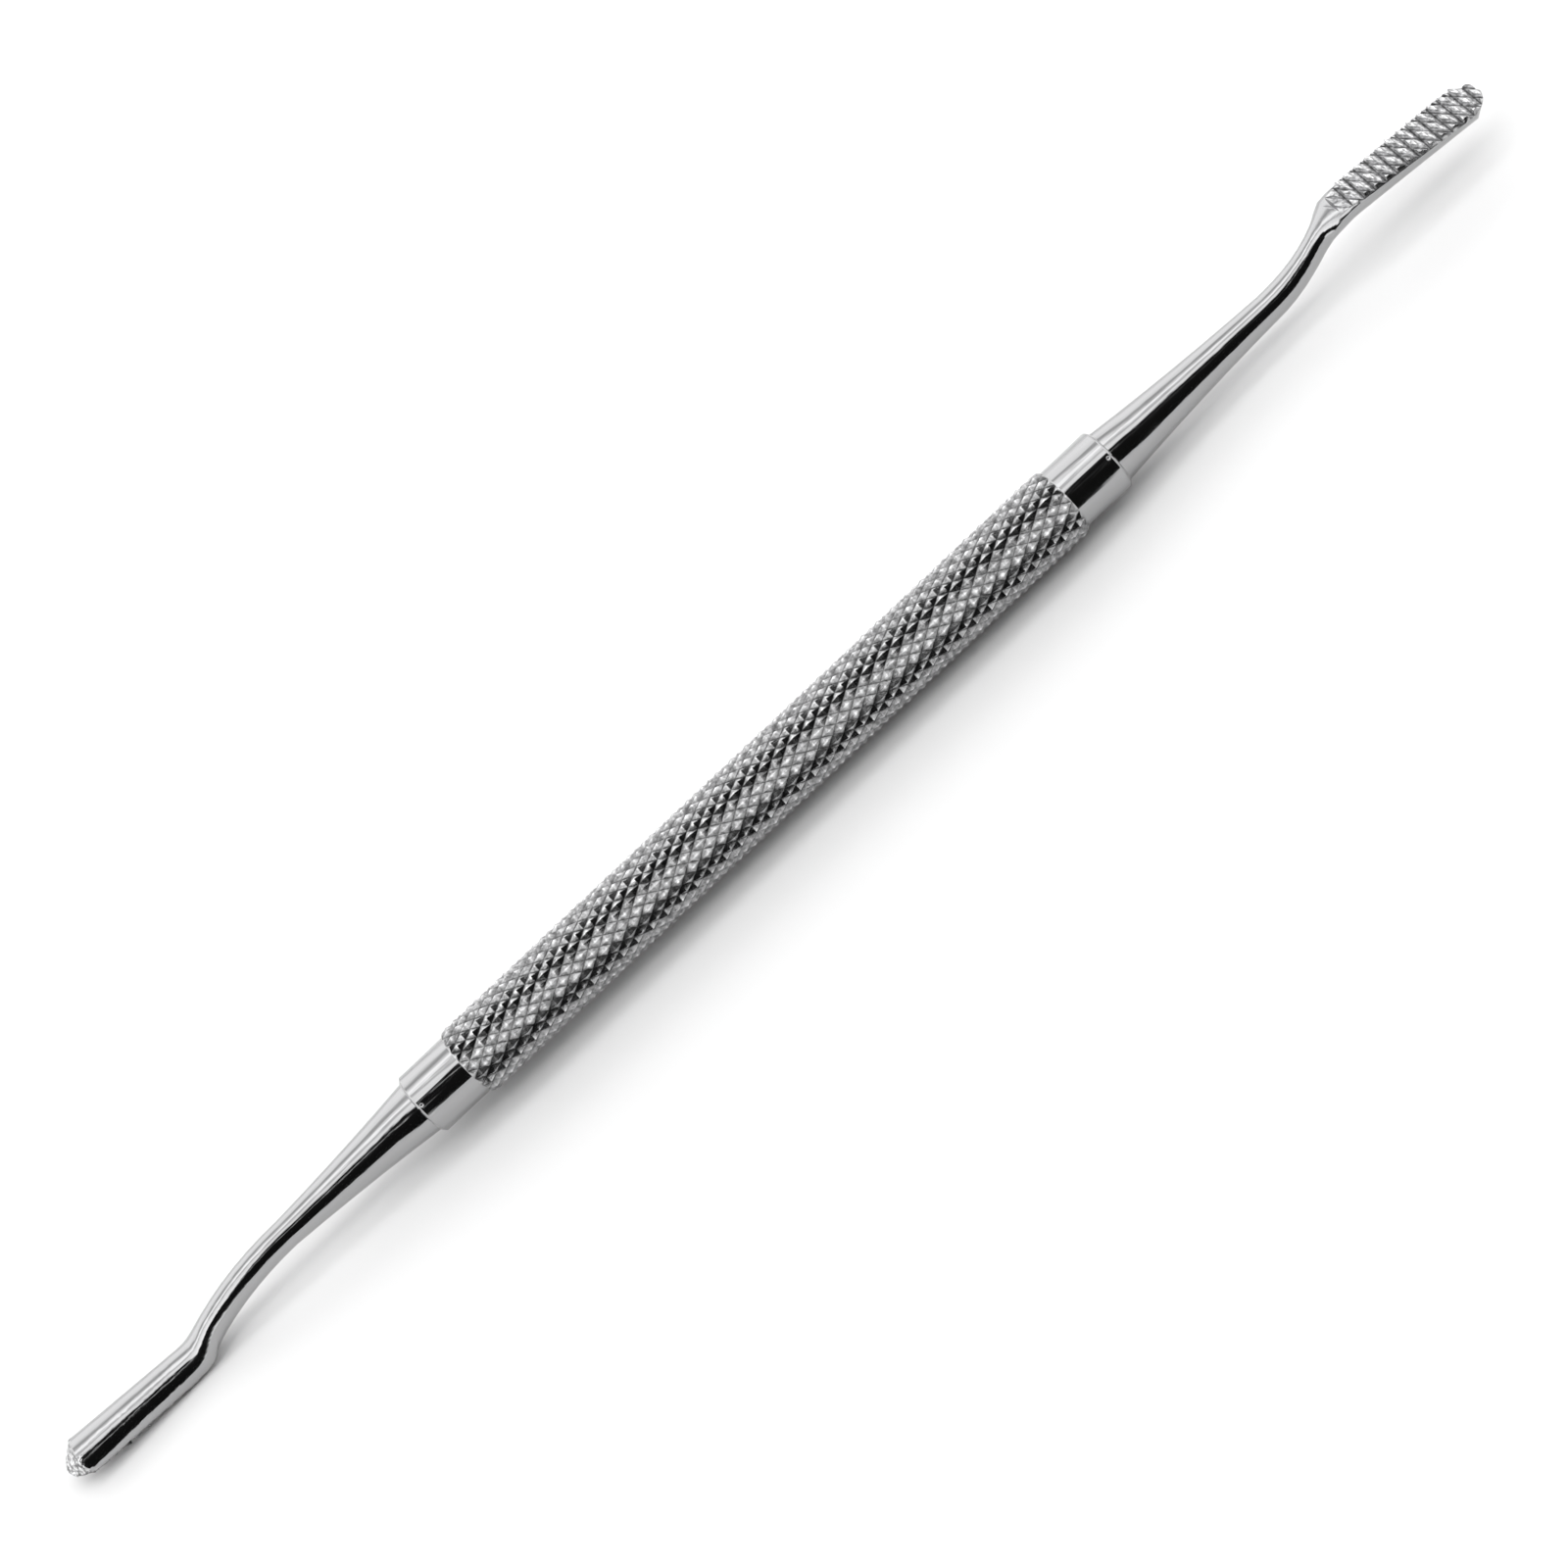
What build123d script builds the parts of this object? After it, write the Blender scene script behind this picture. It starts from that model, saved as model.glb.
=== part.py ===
"""Double-ended bone file: a diamond-knurled handle with a file end seated in each of its bores.

Millimetres. The handle's axis lies along X, with the middle of the handle at the origin, and +Z up.
The file end on the +X side bends up and shows its teeth; the one on the -X side bends down.
"""
import os
from math import cos, pi, radians, sin, tan

from build123d import *

# Handle
grip_length = 72.7
grip_diameter = 7.2
grip_chamfer = 0.38
collar_length = 5.4
collar_diameter = 6.36
collar_chamfer = 0.25

# Diamond knurl on the grip
knurl_starts = 19
knurl_pitch = 1.76
knurl_depth = 0.34

# Seat of a file end in the handle
tang_diameter = 3.6
tang_length = 10.0
seat_gap = 0.02
bore_spare_depth = 0.6
drill_point_angle = 118.0

# Punch mark on each collar that stakes the tang inside it
stake_radius = 0.28
stake_depth = 0.12
stake_from_end = 0.5
stake_elevation = 48.0

# Shank of a file end, hollow ground from the shoulder to the neck
shank_diameter = 5.45
shank_hollow_radius = 300.0
neck_diameter = 2.8

# Bends of the upper file end: the neck rises from the shank and turns down to the slope of the head
upper_shank_length = 19.2
upper_bend_radius = 13.0
upper_rise_angle = 27.0
upper_neck_run = 1.9
upper_turn_radius = 6.5
upper_head_slope = 7.2
upper_neck_waist = 2.35
upper_head_length = 15.1

# Bends of the lower file end, which was bent by hand to a longer and gentler neck
lower_shank_length = 16.4
lower_bend_radius = 28.0
lower_rise_angle = 23.0
lower_neck_run = 2.0
lower_turn_radius = 4.5
lower_head_slope = 5.2
lower_neck_waist = 2.8
lower_head_length = 14.2

# Flare of the neck, which reaches the head's width a little before the heel
flare_length = 4.8
flare_end = 1.6
round_steps = 6
flare_steps = 5

# Head: flat toothed face over a rounded back, with narrow upright sides
heel_width = 3.7
heel_depth = 2.55
nose_width = 4.5
nose_depth = 2.25
side_height = 0.5
nose_round = 2.9
nose_bevel_length = 1.9
nose_edge = 0.4

# Cross cut: two families of slanting grooves, with the steep side of each tooth towards the handle
tooth_pitch = 1.23
tooth_depth = 0.42
tooth_land = 0.38
tooth_rake = 14.0
first_cut_lean = 30.8
second_cut_lean = -5.8
cut_crossing_offset = -0.27

grip_end = grip_length / 2
handle_end = grip_end + collar_length
bore_depth = tang_length + bore_spare_depth


def knurl_envelope():
    """Solid whose middle is a lattice of four-sided pyramids and whose ends clear the collars."""
    half_steps = 2 * round(grip_length / knurl_pitch)
    corners = 2 * knurl_starts
    peak_radius = grip_diameter / 2
    valley_radius = peak_radius - knurl_depth

    def ring(step):
        points = []
        for place in range(corners):
            radius = peak_radius if (place + step) % 2 == 0 else valley_radius
            angle = place * pi / knurl_starts
            along = step * grip_length / half_steps - grip_end
            points.append(Vector(along, radius * cos(angle), radius * sin(angle)))
        return points

    def square(along):
        return [Vector(along, y * grip_diameter, z * grip_diameter) for y, z in ((1, 1), (-1, 1), (-1, -1), (1, -1))]

    def facet(*points):
        return Face(Wire.make_polygon(points))

    faces = []
    rings = [ring(step) for step in range(half_steps + 1)]
    for step in range(half_steps):
        near, far = rings[step], rings[step + 1]
        for place in range(corners):
            beside = (place + 1) % corners
            if (place + step) % 2 == 0:
                faces.append(facet(near[place], near[beside], far[place]))
                faces.append(facet(near[beside], far[beside], far[place]))
            else:
                faces.append(facet(near[place], far[beside], far[place]))
                faces.append(facet(near[place], near[beside], far[beside]))
    for side, star in ((-1, rings[0]), (1, rings[-1])):
        inner, outer = square(side * grip_end), square(side * (handle_end + grip_diameter))
        faces.append(Face(Wire.make_polygon(inner), [Wire.make_polygon(star)]))
        faces.append(facet(*outer))
        for corner in range(4):
            beside = (corner + 1) % 4
            faces.append(facet(inner[corner], inner[beside], outer[beside], outer[corner]))
    return Solid(Shell(faces))


# Handle: a turned blank with a bore in each end, staked collars and a knurled grip
bore_radius = tang_diameter / 2 + seat_gap
drill_point = bore_radius / tan(radians(drill_point_angle / 2))
stake_reach = collar_diameter / 2 - stake_depth + stake_radius

with BuildPart() as handle:
    with BuildSketch(Plane.XZ):
        with BuildLine():
            Polyline(
                (0, 0),
                (handle_end - bore_depth - drill_point, 0),
                (handle_end - bore_depth, bore_radius),
                (handle_end, bore_radius),
                (handle_end, collar_diameter / 2 - collar_chamfer),
                (handle_end - collar_chamfer, collar_diameter / 2),
                (grip_end, collar_diameter / 2),
                (grip_end - grip_chamfer, collar_diameter / 2 + grip_chamfer),
                (grip_end - grip_chamfer, grip_diameter),
                (0, grip_diameter),
                close=True,
            )
        make_face()
        mirror(about=Plane.YZ)
    revolve(axis=Axis.X)
    for side in (-1, 1):
        stake_y = -stake_reach * cos(radians(stake_elevation))
        stake_z = stake_reach * sin(radians(stake_elevation))
        with Locations((side * (handle_end - stake_from_end), stake_y, stake_z)):
            Sphere(stake_radius, mode=Mode.SUBTRACT)
    add(knurl_envelope(), mode=Mode.INTERSECT)
handle.part.label = "handle"

# Teeth: one row of grooves, seen along them, from before the heel to past the nose
steep_run = tooth_depth * tan(radians(tooth_rake))
groove_start = -round(heel_width / tooth_pitch) - 1
crest_spare = tooth_depth / 8


def groove_outline(groove_pitch, head_length):
    """Corners of the metal taken out by one family of grooves; each tooth's steep side faces the handle."""
    gentle_run = groove_pitch - tooth_land - steep_run
    groove_end = round(head_length / tooth_pitch) + 2
    corners = []
    for groove in range(groove_start, groove_end):
        start = groove * groove_pitch
        corners.append((start - crest_spare * gentle_run / tooth_depth, crest_spare))
        corners.append((start + gentle_run, -tooth_depth))
        corners.append((start + gentle_run + steep_run * (1 + crest_spare / tooth_depth), crest_spare))
    corners.append((groove_end * groove_pitch, 2 * tooth_depth))
    corners.append((groove_start * groove_pitch, 2 * tooth_depth))
    return corners


def eased(share):
    """Share from 0 to 1 that starts and ends gently."""
    share = min(max(share, 0), 1)
    return share * share * (3 - 2 * share)


def file_end(shank_length, bend_radius, rise_angle, neck_run, turn_radius, head_slope, neck_waist, head_length):
    """File end in the +X end of the handle, with its teeth up."""
    neck_start = handle_end + shank_length

    # Guide of the neck, along its middle
    with BuildLine(Plane.XZ) as neck_guide:
        bend = JernArc(start=(neck_start, 0), tangent=(1, 0), radius=bend_radius, arc_size=rise_angle)
        run = PolarLine(start=bend @ 1, length=neck_run, angle=rise_angle)
        JernArc(run @ 1, run % 1, turn_radius, -(rise_angle + head_slope))
    neck_line = neck_guide.wires()[0]

    # The face starts over the guide's end, at the heel
    width_way = Vector(0, 1, 0)
    head_way = neck_line % 1
    up_way = head_way.cross(width_way)
    heel = neck_line @ 1 + up_way * heel_depth / 2
    face_plane = Plane(origin=heel, x_dir=head_way, z_dir=up_way)

    # Metal beyond the nose, which is round seen from above and bevelled towards the back
    nose_start = head_length - nose_round
    bevel_slope = nose_bevel_length / (nose_depth - nose_edge)
    waste_depth = nose_round / bevel_slope
    nose_levels = [
        (tooth_depth, nose_round),
        (-nose_edge, nose_round),
        (-waste_depth, nose_round - bevel_slope * (waste_depth - nose_edge)),
    ]
    with BuildPart() as nose_waste:
        with BuildSketch(face_plane.offset(-waste_depth)):
            with Locations((head_length, 0)):
                Rectangle(2 * nose_round, 2 * nose_width)
        extrude(amount=waste_depth + tooth_depth)
        for level, reach in nose_levels:
            with BuildSketch(face_plane.offset(level)):
                with Locations((nose_start, 0)):
                    Ellipse(reach, nose_width / 2)
        loft(ruled=True, mode=Mode.SUBTRACT)

    with BuildPart() as blade:
        # Tang, shoulder and shank
        with BuildSketch(Plane.XZ):
            with BuildLine():
                Polyline(
                    (neck_start, neck_diameter / 2),
                    (neck_start, 0),
                    (handle_end - tang_length, 0),
                    (handle_end - tang_length, tang_diameter / 2),
                    (handle_end, tang_diameter / 2),
                    (handle_end, shank_diameter / 2),
                )
                RadiusArc((handle_end, shank_diameter / 2), (neck_start, neck_diameter / 2), -shank_hollow_radius)
            make_face()
        revolve(axis=Axis.X)

        # Neck: round down to its waist
        flare_start = 1 - flare_length / neck_line.length
        for step in range(round_steps + 1):
            share = flare_start * step / round_steps
            diameter = neck_diameter + (neck_waist - neck_diameter) * eased(step / round_steps)
            with BuildSketch(Plane(origin=neck_line @ share, x_dir=width_way, z_dir=neck_line % share)):
                Circle(diameter / 2)
        loft(ruled=True)

        # Then flared to the head's width and flattened on top, up to the heel
        for step in range(flare_steps + 1):
            share = flare_start + (1 - flare_start) * step / flare_steps
            flared = eased(step / flare_steps * flare_length / (flare_length - flare_end))
            half_width = (neck_waist + (heel_width - neck_waist) * flared) / 2
            half_depth = (neck_waist + (heel_depth - neck_waist) * flared) / 2
            widest = (heel_depth / 2 - side_height) * flared
            with BuildSketch(Plane(origin=neck_line @ share, x_dir=width_way, z_dir=neck_line % share)):
                with BuildLine():
                    TangentArc((0, half_depth), (half_width, widest), tangent=(1, 0))
                    TangentArc((0, -half_depth), (half_width, widest), tangent=(1, 0))
                    mirror(about=Plane.YZ)
                make_face()
        loft(ruled=True)

        # Head, a little longer than it ends up, then its nose
        stock_share = (head_length + nose_edge) / nose_start
        for share in (0, stock_share):
            half_width = (heel_width + (nose_width - heel_width) * share) / 2
            depth = heel_depth + (nose_depth - heel_depth) * share
            section_place = heel + head_way * nose_start * share
            with BuildSketch(Plane(origin=section_place, x_dir=width_way, z_dir=head_way)):
                with BuildLine():
                    Polyline((0, 0), (half_width, 0), (half_width, -side_height))
                    TangentArc((0, -depth), (half_width, -side_height), tangent=(1, 0))
                    mirror(about=Plane.YZ)
                make_face()
        loft(ruled=True)
        add(nose_waste.part, mode=Mode.SUBTRACT)

        # Cross cut
        for lean in (first_cut_lean, second_cut_lean):
            across_way = head_way * cos(radians(lean)) + width_way * sin(radians(lean))
            crossing = heel + width_way * cut_crossing_offset
            with BuildSketch(Plane(origin=crossing, x_dir=across_way, z_dir=across_way.cross(up_way))):
                with BuildLine():
                    Polyline(*groove_outline(tooth_pitch * cos(radians(lean)), head_length), close=True)
                make_face()
            extrude(amount=2 * nose_width, both=True, mode=Mode.SUBTRACT)
    return blade.part


with BuildPart() as upper_file_end:
    add(
        file_end(
            upper_shank_length,
            upper_bend_radius,
            upper_rise_angle,
            upper_neck_run,
            upper_turn_radius,
            upper_head_slope,
            upper_neck_waist,
            upper_head_length,
        )
    )
upper_file_end.part.label = "upper_file_end"

# The lower file end is turned over about the handle's middle
lower_blade = file_end(
    lower_shank_length,
    lower_bend_radius,
    lower_rise_angle,
    lower_neck_run,
    lower_turn_radius,
    lower_head_slope,
    lower_neck_waist,
    lower_head_length,
)
with BuildPart() as lower_file_end:
    add(lower_blade.rotate(Axis.Y, 180))
lower_file_end.part.label = "lower_file_end"

os.makedirs("parts", exist_ok=True)
export_step(handle.part, "parts/handle.step")
export_step(upper_file_end.part, "parts/upper_file_end.step")
export_step(lower_file_end.part, "parts/lower_file_end.step")
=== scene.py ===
"""Looks of a double-ended bone file: a knurled steel handle between two toothed file ends, on a pale table."""
from math import atan2, copysign, cos, hypot, radians, sin

import bmesh
import bpy
from mathutils import Matrix, Vector


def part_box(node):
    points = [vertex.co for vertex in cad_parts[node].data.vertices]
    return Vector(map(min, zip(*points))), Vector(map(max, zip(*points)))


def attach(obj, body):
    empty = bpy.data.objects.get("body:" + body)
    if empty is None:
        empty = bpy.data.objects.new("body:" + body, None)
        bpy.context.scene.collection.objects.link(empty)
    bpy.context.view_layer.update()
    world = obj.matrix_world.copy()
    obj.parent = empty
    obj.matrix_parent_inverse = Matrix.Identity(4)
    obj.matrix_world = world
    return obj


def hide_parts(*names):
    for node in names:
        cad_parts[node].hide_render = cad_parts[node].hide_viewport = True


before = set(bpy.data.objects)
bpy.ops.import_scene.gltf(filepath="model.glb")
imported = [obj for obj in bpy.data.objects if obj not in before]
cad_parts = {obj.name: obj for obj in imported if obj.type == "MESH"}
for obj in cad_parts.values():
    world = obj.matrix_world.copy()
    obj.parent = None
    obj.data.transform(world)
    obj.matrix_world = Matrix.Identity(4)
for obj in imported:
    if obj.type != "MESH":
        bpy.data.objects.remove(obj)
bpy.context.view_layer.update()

bl_info = {
    "name": "Bone File",
    "version": (1, 0, 0),
    "blender": (4, 5, 0),
    "location": "View3D > Sidebar > Bone File",
    "description": "Finishes the steel of a double-ended bone file and lays it on a lit table",
    "category": "Add Mesh",
}

MM = 0.001
HANDLE, UPPER, LOWER = "handle", "upper_file_end", "lower_file_end"

# Distances from the middle of the handle to the grip's end, the head's heel, the first tooth and the lower nose
GRIP_END, HEEL, HEAD_START, LOWER_NOSE = 36.3 * MM, 70 * MM, 71 * MM, -85.4 * MM
KNURL_DEPTH, TOOTH_DEPTH = 0.34 * MM, 0.42 * MM
# Depth down to which the steel of a head counts as cut, as a share of a tooth's depth
CUT_REACH = 1.05
# Node, name of the piece, end of the tool and slope of the file face in degrees
FILE_ENDS = ((UPPER, "upper_file", 1, 7.2), (LOWER, "lower_file", -1, 5.2))
# Edges sharper than these, in degrees, are broken
KNURL_EDGE_ANGLE, FILE_EDGE_ANGLE = 20, 28
# Share of a face's normal that points across the tool, past which the face is a side of the head
SIDE_FACING = 0.75

# Painted highlight on the top of a knurl point or tooth and painted shade down its cut, as greys that multiply the
# steel's colour by depth, from the top (0) to the bottom of its cut (1)
KNURL_HIGHLIGHT_AND_SHADE = ((0, 1.8), (0.15, 1.5), (0.45, 0.9), (0.9, 0.6), (1, 0.22))
TOOTH_HIGHLIGHT_AND_SHADE = ((0, 1.8), (0.03, 1.8), (0.08, 0.7), (0.4, 1.35), (0.8, 1.1), (1, 0.38))
# Shade of the worn patches on the cut steel and of the chips on the rough nose, by the value of their noise
WEAR_SHADES = ((0.35, 0.55), (0.65, 1.35))
CHIP_SHADES = ((0.4, 0.3), (0.6, 1.5))
# Features per metre: clouds in the polish, patches of wear, grit, and waves and streaks drawn out along the tool
CLOUD_SCALE, PATCH_SCALE, GRIT_SCALE = 500, 2600, 5200
WAVE_SCALE, STREAK_SCALE = (250, 900, 900), (150, 4500, 4500)
# Values of the clouds' noise, and the roughness there as a share of the plain steel's
CLOUD_RANGE, CLOUD_ROUGHNESS = (0.3, 0.7), (0.8, 1.25)
NOSE_ROUGHNESS = 0.28
# Grit of the cut steel, as a share of the rough nose's
CUT_GRIT = 0.25

# Light of the room by height in degrees, from the table's front edge (0) over the top (90) to its back edge
ROOM = (
    (0, 0.8),
    (50, 1.1),
    (68, 1.1),
    (74, 0.9),
    (78, 1.0),
    (82, 0.92),
    (88, 0.52),
    (91, 0.54),
    (97, 1.15),
    (103, 1.3),
    (108, 1.0),
    (114, 0.55),
    (122, 0.36),
    (127, 0.5),
    (134, 0.9),
    (150, 1.0),
    (168, 0.95),
    (180, 0.65),
)
ROOM_STRENGTH = 1.8
# Dark screen before the tool, in degrees of height: half its breadth before the middle and towards the tool's ends
SCREEN_MIDDLE, SCREEN_HALF, SCREEN_END_HALF = 34, 36, 11
# How far sideways it narrows, from straight ahead (0) to along the tool (1), and where its soft edge starts and ends
SCREEN_TAPER, SCREEN_EDGE, SCREEN_GREY = (0.3, 0.8), (0.96, 1.05), 0.006
# Slit of light in the screen, in degrees of height, which fades within SLIT_HALF of its middle
SLIT_HEIGHT, SLIT_HALF, SLIT_LIGHT = 54, (0.5, 2.0), 0.5
# Where the slit fades from left to right, and what share of its light is left on the right
SLIT_TURN, SLIT_RIGHT = (-0.1, 0.05), 0.08

TABLE_HALF, TABLE_ROUGHNESS = 1.5, 0.6
# From the lower file end's nose to where its heel touches the table
HEEL_TOUCH = 14 * MM


class BoneFileSteel(bpy.types.PropertyGroup):
    """Colours and finish of the steel."""

    handle_colour: bpy.props.FloatVectorProperty(
        name="Handle steel",
        description="Colour of the turned and knurled handle",
        subtype="COLOR",
        size=4,
        min=0,
        max=1,
        default=(0.405, 0.405, 0.409, 1),
    )
    file_colour: bpy.props.FloatVectorProperty(
        name="File steel",
        description="Colour of the forged file ends",
        subtype="COLOR",
        size=4,
        min=0,
        max=1,
        default=(0.405, 0.405, 0.409, 1),
    )
    nose_colour: bpy.props.FloatVectorProperty(
        name="Rough nose",
        description="Colour of the rough end of the lower file head",
        subtype="COLOR",
        size=4,
        min=0,
        max=1,
        default=(0.55, 0.55, 0.555, 1),
    )
    plain_roughness: bpy.props.FloatProperty(
        name="Plain roughness",
        description="How blurred the reflections of the plain steel are",
        subtype="FACTOR",
        min=0,
        max=1,
        default=0.1,
    )
    knurl_roughness: bpy.props.FloatProperty(
        name="Knurl roughness",
        description="How blurred the reflections of the knurl are",
        subtype="FACTOR",
        min=0,
        max=1,
        default=0.2,
    )
    teeth_roughness: bpy.props.FloatProperty(
        name="Teeth roughness",
        description="How blurred the reflections of the file teeth are",
        subtype="FACTOR",
        min=0,
        max=1,
        default=0.22,
    )
    wave_height: bpy.props.FloatProperty(
        name="Polishing waves",
        description="Height of the waves that the polishing wheel leaves",
        unit="LENGTH",
        min=0,
        default=0.022 * MM,
        precision=6,
    )
    streak_height: bpy.props.FloatProperty(
        name="Streaks",
        description="Height of the fine streaks along the steel",
        unit="LENGTH",
        min=0,
        default=0.007 * MM,
        precision=6,
    )
    grit_height: bpy.props.FloatProperty(
        name="Grit",
        description="Height of the grain of the cut surfaces",
        unit="LENGTH",
        min=0,
        default=0.04 * MM,
        precision=6,
    )
    chip_height: bpy.props.FloatProperty(
        name="Chips",
        description="Height of the broken patches of the rough nose",
        unit="LENGTH",
        min=0,
        default=0.16 * MM,
        precision=6,
    )
    side_lean: bpy.props.FloatProperty(
        name="Side lean",
        description="How far the sides of the teeth lean inward at the top",
        unit="LENGTH",
        min=0,
        default=0.22 * MM,
        precision=6,
    )
    edge_break: bpy.props.FloatProperty(
        name="Edge break",
        description="Width of the worn flat on a sharp edge",
        unit="LENGTH",
        min=0,
        default=0.02 * MM,
        precision=6,
    )


class BoneFileStage(bpy.types.PropertyGroup):
    """Table, light and camera."""

    camera_elevation: bpy.props.FloatProperty(
        name="Camera elevation",
        description="Angle of the camera over the table",
        subtype="ANGLE",
        default=radians(48),
    )
    camera_roll: bpy.props.FloatProperty(
        name="Camera roll",
        description="Turn of the camera about its line of sight",
        subtype="ANGLE",
        default=radians(43.3),
    )
    camera_distance: bpy.props.FloatProperty(
        name="Camera distance",
        description="Distance from the camera to the middle of the handle",
        unit="LENGTH",
        default=0.292,
    )
    table_colour: bpy.props.FloatVectorProperty(
        name="Table",
        description="Colour of the table",
        subtype="COLOR",
        size=4,
        min=0,
        max=1,
        default=(0.95, 0.95, 0.95, 1),
    )


class Nodes:
    """Node tree of a material or of the world, with short calls to add and join nodes."""

    def __init__(self, owner):
        owner.use_nodes = True
        self.tree = owner.node_tree
        self.tree.nodes.clear()

    def add(self, kind, inputs=None, **settings):
        node = self.tree.nodes.new(kind)
        for key, value in settings.items():
            setattr(node, key, value)
        for key, value in (inputs or {}).items():
            if isinstance(value, bpy.types.NodeSocket):
                self.tree.links.new(value, node.inputs[key])
            else:
                node.inputs[key].default_value = value
        return node

    def math(self, operation, *values):
        return self.add("ShaderNodeMath", dict(enumerate(values)), operation=operation).outputs[0]

    def mix(self, first, second, share):
        """Number between the first and the second."""
        inputs = {"Factor": share, "A": first, "B": second}
        return self.add("ShaderNodeMix", inputs, data_type="FLOAT").outputs["Result"]

    def blend(self, first, second, share, method="MIX"):
        """Colour between the first and the second."""
        inputs = {0: share, 6: first, 7: second}
        return self.add("ShaderNodeMix", inputs, data_type="RGBA", blend_type=method).outputs[2]

    def product(self, first, second):
        """The first colour times the second."""
        return self.blend(first, second, 1.0, "MULTIPLY")

    def spread(self, value, low, high, start, end):
        """The value's place between low and high, moved to between start and end."""
        limits = {"Value": value, "From Min": low, "From Max": high, "To Min": start, "To Max": end}
        return self.add("ShaderNodeMapRange", limits).outputs["Result"]

    def attribute(self, name):
        return self.add("ShaderNodeAttribute", attribute_name=name).outputs["Fac"]

    def noise(self, place, scale, detail, **others):
        inputs = {"Vector": place, "Scale": scale, "Detail": detail, **others}
        return self.add("ShaderNodeTexNoise", inputs).outputs["Fac"]

    def drawn_out(self, place, scale):
        """Place with its own scale along each axis."""
        return self.add("ShaderNodeMapping", {"Vector": place, "Scale": scale}).outputs["Vector"]

    def bump(self, height, distance, **others):
        return self.add("ShaderNodeBump", {"Height": height, "Distance": distance, **others}).outputs["Normal"]

    def ramp(self, factor, stops):
        """Colour ramp with (position, grey) stops."""
        node = self.add("ShaderNodeValToRGB", {"Fac": factor})
        points = node.color_ramp.elements
        while len(points) < len(stops):
            points.new(0.5)
        for point, (position, grey) in zip(points, stops):
            point.position = position
            point.color = (grey, grey, grey, 1)
        return node.outputs["Color"]


def steel(name, look, colour, worked_roughness, painted_light):
    """Stainless steel: polished where it is plain, duller where it is knurled or toothed, with painted highlight on the
    tops and painted shade down the cuts there, mottled by random wear.
    """
    material = bpy.data.materials.new(name)
    nodes = Nodes(material)
    place = nodes.add("ShaderNodeTexCoord").outputs["Object"]
    cut, worked, rough = (nodes.attribute(name) for name in ("cut", "worked", "rough_nose"))

    patches = nodes.noise(place, PATCH_SCALE, 3)
    # Painted highlight and painted shade by depth in the cut, times random patches of wear, only where the steel is
    # knurled or toothed
    light_and_wear = nodes.product(nodes.ramp(cut, painted_light), nodes.ramp(patches, WEAR_SHADES))
    light_and_wear_colour = nodes.blend(colour, nodes.product(light_and_wear, colour), worked)
    chips = nodes.product(nodes.ramp(patches, CHIP_SHADES), look.nose_colour)
    tint = nodes.blend(light_and_wear_colour, chips, rough)

    clouds = nodes.noise(place, CLOUD_SCALE, 4)
    smooth = nodes.spread(clouds, *CLOUD_RANGE, *(look.plain_roughness * share for share in CLOUD_ROUGHNESS))
    finish = nodes.mix(nodes.mix(smooth, worked_roughness, worked), NOSE_ROUGHNESS, rough)

    waves = nodes.noise(nodes.drawn_out(place, WAVE_SCALE), 1, 2)
    streaks = nodes.noise(nodes.drawn_out(place, STREAK_SCALE), 1, 2)
    grit = nodes.noise(place, GRIT_SCALE, 3, Roughness=0.6)
    grit_share = nodes.math("MAXIMUM", nodes.math("MULTIPLY", worked, CUT_GRIT), rough)
    normal = nodes.bump(waves, look.wave_height)
    normal = nodes.bump(streaks, look.streak_height, Normal=normal)
    normal = nodes.bump(patches, look.chip_height, Normal=normal, Strength=rough)
    normal = nodes.bump(grit, look.grit_height, Normal=normal, Strength=grit_share)

    surface = nodes.add(
        "ShaderNodeBsdfPrincipled", {"Base Color": tint, "Metallic": 1, "Roughness": finish, "Normal": normal}
    )
    nodes.add("ShaderNodeOutputMaterial", {"Surface": surface.outputs["BSDF"]})
    return material


def mark(mesh, name, values):
    """Point attribute for the material to read."""
    mesh.attributes.new(name, "FLOAT", "POINT").data.foreach_set("value", values)


def merged_form(node):
    """Packed part with its loose triangles joined and its flat areas whole."""
    form = bmesh.new()
    form.from_mesh(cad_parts[node].data)
    bmesh.ops.remove_doubles(form, verts=form.verts, dist=0.001 * MM)
    bmesh.ops.dissolve_limit(
        form, angle_limit=radians(0.2), use_dissolve_boundaries=False, verts=form.verts, edges=form.edges
    )
    return form


def placed(form, name):
    """Object of the form, at the origin."""
    mesh = bpy.data.meshes.new(name)
    form.to_mesh(mesh)
    form.free()
    piece = bpy.data.objects.new(name, mesh)
    bpy.context.scene.collection.objects.link(piece)
    return piece


def soften(piece, width, angle):
    """Smooth shading, and a narrow flat on each edge that is sharper than the angle in degrees."""
    piece.data.shade_smooth()
    bevel = piece.modifiers.new("edge_break", "BEVEL")
    bevel.width = width
    bevel.segments = 2
    bevel.limit_method = "ANGLE"
    bevel.angle_limit = radians(angle)
    bevel.harden_normals = True
    bevel.use_clamp_overlap = True


def dress(piece, node, material):
    """Give the piece its material, and put it in the place of its node."""
    piece.data.materials.clear()
    piece.data.materials.append(material)
    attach(piece, "root")
    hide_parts(node)


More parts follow.
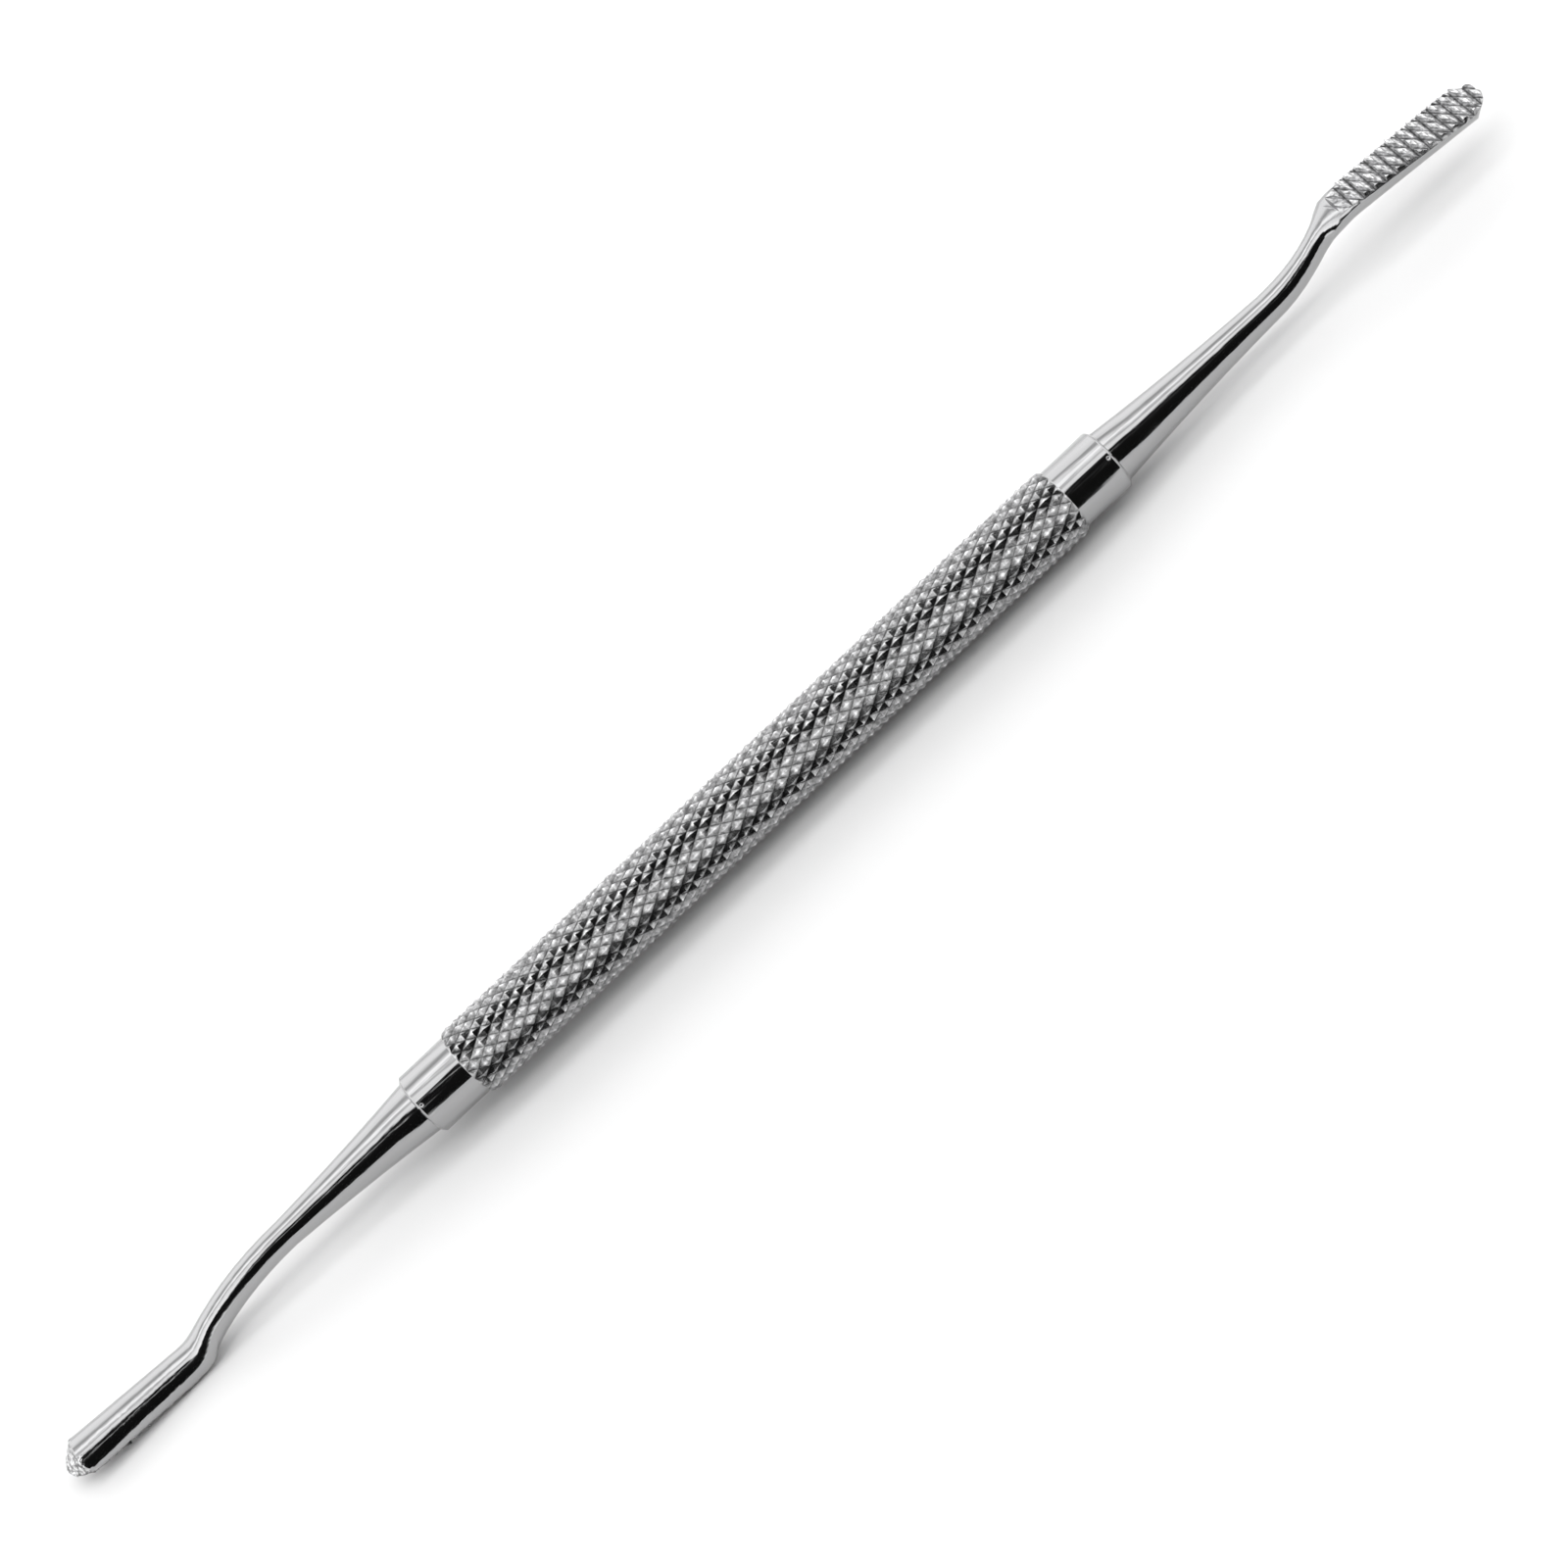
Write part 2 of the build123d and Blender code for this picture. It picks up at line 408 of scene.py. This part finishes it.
class BONEFILE_OT_handle(bpy.types.Operator):
    """Make the knurled handle"""

    bl_idname = "bone_file.handle"
    bl_label = "Handle"
    bl_options = {"REGISTER", "UNDO"}

    def execute(self, context):
        look = context.scene.bone_file_steel
        finish = steel("turned_steel", look, look.handle_colour, look.knurl_roughness, KNURL_HIGHLIGHT_AND_SHADE)
        form = merged_form(HANDLE)
        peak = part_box(HANDLE)[1].y
        cuts = [min(1, (peak - hypot(v.co.y, v.co.z)) / KNURL_DEPTH) for v in form.verts]
        in_grip = [1.0 if abs(v.co.x) < GRIP_END else 0.0 for v in form.verts]
        piece = placed(form, "knurled_handle")
        # Depth into the knurl, which the steel's colour turns into painted highlight on the points and painted shade in
        # the grooves
        mark(piece.data, "cut", [cut * inside for cut, inside in zip(cuts, in_grip)])
        mark(piece.data, "worked", in_grip)
        soften(piece, look.edge_break, KNURL_EDGE_ANGLE)
        dress(piece, HANDLE, finish)
        return {"FINISHED"}


class BONEFILE_OT_file_ends(bpy.types.Operator):
    """Make the two file ends"""

    bl_idname = "bone_file.file_ends"
    bl_label = "File ends"
    bl_options = {"REGISTER", "UNDO"}

    def execute(self, context):
        look = context.scene.bone_file_steel
        finish = steel("file_steel", look, look.file_colour, look.teeth_roughness, TOOTH_HIGHLIGHT_AND_SHADE)
        for node, name, side, slope in FILE_ENDS:
            form = merged_form(node)
            outward = Vector((sin(radians(slope)), 0, cos(radians(slope)))) * side
            level = max(v.co.dot(outward) for v in form.verts)
            depths = [(level - v.co.dot(outward)) / TOOTH_DEPTH for v in form.verts]
            toothed = [
                1.0 if v.co.x * side > HEAD_START and depth < CUT_REACH else 0.0 for v, depth in zip(form.verts, depths)
            ]
            nose = [1.0 if v.co.x < LOWER_NOSE else 0.0 for v in form.verts]
            lean_sides(form, outward, level, side, look.side_lean)
            piece = placed(form, name)
            # Depth below the file face, which the steel's colour turns into painted highlight on the teeth's tops and
            # painted shade down their cuts
            mark(piece.data, "cut", [max(0.0, depth) * inside for depth, inside in zip(depths, toothed)])
            mark(piece.data, "worked", toothed)
            mark(piece.data, "rough_nose", nose)
            soften(piece, look.edge_break, FILE_EDGE_ANGLE)
            dress(piece, node, finish)
        return {"FINISHED"}


def lean_sides(form, outward, level, side, lean):
    """Lean the sides of the teeth inward at the top, so that they reflect the dark screen."""
    form.normal_update()
    for vertex in form.verts:
        depth = level - vertex.co.dot(outward)
        beside = any(abs(face.normal.y) > SIDE_FACING for face in vertex.link_faces)
        if beside and vertex.co.x * side > HEEL and depth < TOOTH_DEPTH:
            vertex.co.y -= copysign(lean * (1 - depth / TOOTH_DEPTH), vertex.co.y)


class BONEFILE_OT_stage(bpy.types.Operator):
    """Lay the table and set the light and the camera"""

    bl_idname = "bone_file.stage"
    bl_label = "Stage"
    bl_options = {"REGISTER", "UNDO"}

    def execute(self, context):
        look = context.scene.bone_file_stage
        lay_table(look)
        set_light(context.scene)
        set_camera(context.scene, look)
        return {"FINISHED"}


def lay_table(look):
    """Table that touches the lower file end at its heel and the grip at its other end."""
    heel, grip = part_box(LOWER)[0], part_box(HANDLE)
    heel_x = heel.x + HEEL_TOUCH
    grip_x = grip[1].x
    slope = atan2(grip[0].z - heel.z, grip_x - heel_x)
    form = bmesh.new()
    turn = Matrix.Translation((heel_x, 0, heel.z)) @ Matrix.Rotation(-slope, 4, "Y")
    bmesh.ops.create_grid(form, x_segments=1, y_segments=1, size=TABLE_HALF, matrix=turn)
    table = placed(form, "table")
    material = bpy.data.materials.new("table_top")
    nodes = Nodes(material)
    surface = nodes.add("ShaderNodeBsdfPrincipled", {"Base Color": look.table_colour, "Roughness": TABLE_ROUGHNESS})
    nodes.add("ShaderNodeOutputMaterial", {"Surface": surface.outputs["BSDF"]})
    table.data.materials.append(material)


def set_light(scene):
    """White room with strip lamps over the tool and a dark screen before it, both as long as the tool."""
    world = bpy.data.worlds.new("studio")
    scene.world = world
    nodes = Nodes(world)
    way = nodes.add("ShaderNodeTexCoord").outputs["Generated"]
    split = nodes.add("ShaderNodeSeparateXYZ", {"Vector": way})
    front = nodes.math("MULTIPLY", split.outputs["Y"], -1.0)
    turn = nodes.math("ARCTAN2", split.outputs["Z"], front)
    height = nodes.spread(turn, 0, radians(180), 0, 180)
    lamps = nodes.ramp(nodes.math("DIVIDE", height, 180.0), [(angle / 180, grey) for angle, grey in ROOM])
    side = nodes.math("ABSOLUTE", split.outputs["X"])
    half = nodes.spread(side, *SCREEN_TAPER, SCREEN_HALF, SCREEN_END_HALF)
    reach = nodes.math("DIVIDE", nodes.math("ABSOLUTE", nodes.math("SUBTRACT", height, SCREEN_MIDDLE)), half)
    lit = nodes.spread(reach, *SCREEN_EDGE, SCREEN_GREY, 1)
    slit_gap = nodes.math("ABSOLUTE", nodes.math("SUBTRACT", height, SLIT_HEIGHT))
    slit = nodes.spread(slit_gap, *SLIT_HALF, SLIT_LIGHT, 0)
    slit_end = nodes.spread(split.outputs["X"], *SLIT_TURN, 1, SLIT_RIGHT)
    room = nodes.math("MULTIPLY", lamps, lit)
    glow = nodes.math("ADD", room, nodes.math("MULTIPLY", slit, slit_end))
    light = nodes.add("ShaderNodeBackground", {"Color": glow, "Strength": ROOM_STRENGTH})
    nodes.add("ShaderNodeOutputWorld", {"Surface": light.outputs["Background"]})
    scene.view_settings.view_transform = "Standard"


def set_camera(scene, look):
    """Camera at the photograph's angle: 3370 pixels of focal length on a 1600 pixel frame."""
    focal_pixels, frame_pixels, film_width = 3370, 1600, 36
    middle_right, middle_down = 12.4, 14.8
    back = Vector((0, -cos(look.camera_elevation), sin(look.camera_elevation)))
    right = Vector((1, 0, 0))
    up = back.cross(right)
    metres_per_pixel = look.camera_distance / focal_pixels
    target = (right * middle_right - up * middle_down) * metres_per_pixel
    roll = look.camera_roll
    across = right * cos(roll) - up * sin(roll)
    upward = right * sin(roll) + up * cos(roll)
    data = bpy.data.cameras.new("camera")
    data.sensor_width = film_width
    data.lens = film_width * focal_pixels / frame_pixels
    data.clip_start = 0.01
    camera = bpy.data.objects.new("camera", data)
    scene.collection.objects.link(camera)
    pose = Matrix((across, upward, back)).transposed().to_4x4()
    pose.translation = target + back * look.camera_distance
    camera.matrix_world = pose
    scene.camera = camera


class BONEFILE_PT_sidebar(bpy.types.Panel):
    """Buttons and settings of the bone file"""

    bl_label = "Bone File"
    bl_idname = "BONEFILE_PT_sidebar"
    bl_space_type = "VIEW_3D"
    bl_region_type = "UI"
    bl_category = "Bone File"

    def draw(self, context):
        layout = self.layout
        for group in (context.scene.bone_file_steel, context.scene.bone_file_stage):
            for key in group.__annotations__:
                layout.prop(group, key)
        for operator in OPERATORS:
            layout.operator(operator.bl_idname)


OPERATORS = (BONEFILE_OT_handle, BONEFILE_OT_file_ends, BONEFILE_OT_stage)
CLASSES = (BoneFileSteel, BoneFileStage, *OPERATORS, BONEFILE_PT_sidebar)


def register():
    for kind in CLASSES:
        bpy.utils.register_class(kind)
    bpy.types.Scene.bone_file_steel = bpy.props.PointerProperty(type=BoneFileSteel)
    bpy.types.Scene.bone_file_stage = bpy.props.PointerProperty(type=BoneFileStage)


def unregister():
    del bpy.types.Scene.bone_file_stage
    del bpy.types.Scene.bone_file_steel
    for kind in reversed(CLASSES):
        bpy.utils.unregister_class(kind)


def main():
    register()
    bpy.ops.bone_file.handle()
    bpy.ops.bone_file.file_ends()
    bpy.ops.bone_file.stage()


if __name__ == "__main__":
    main()
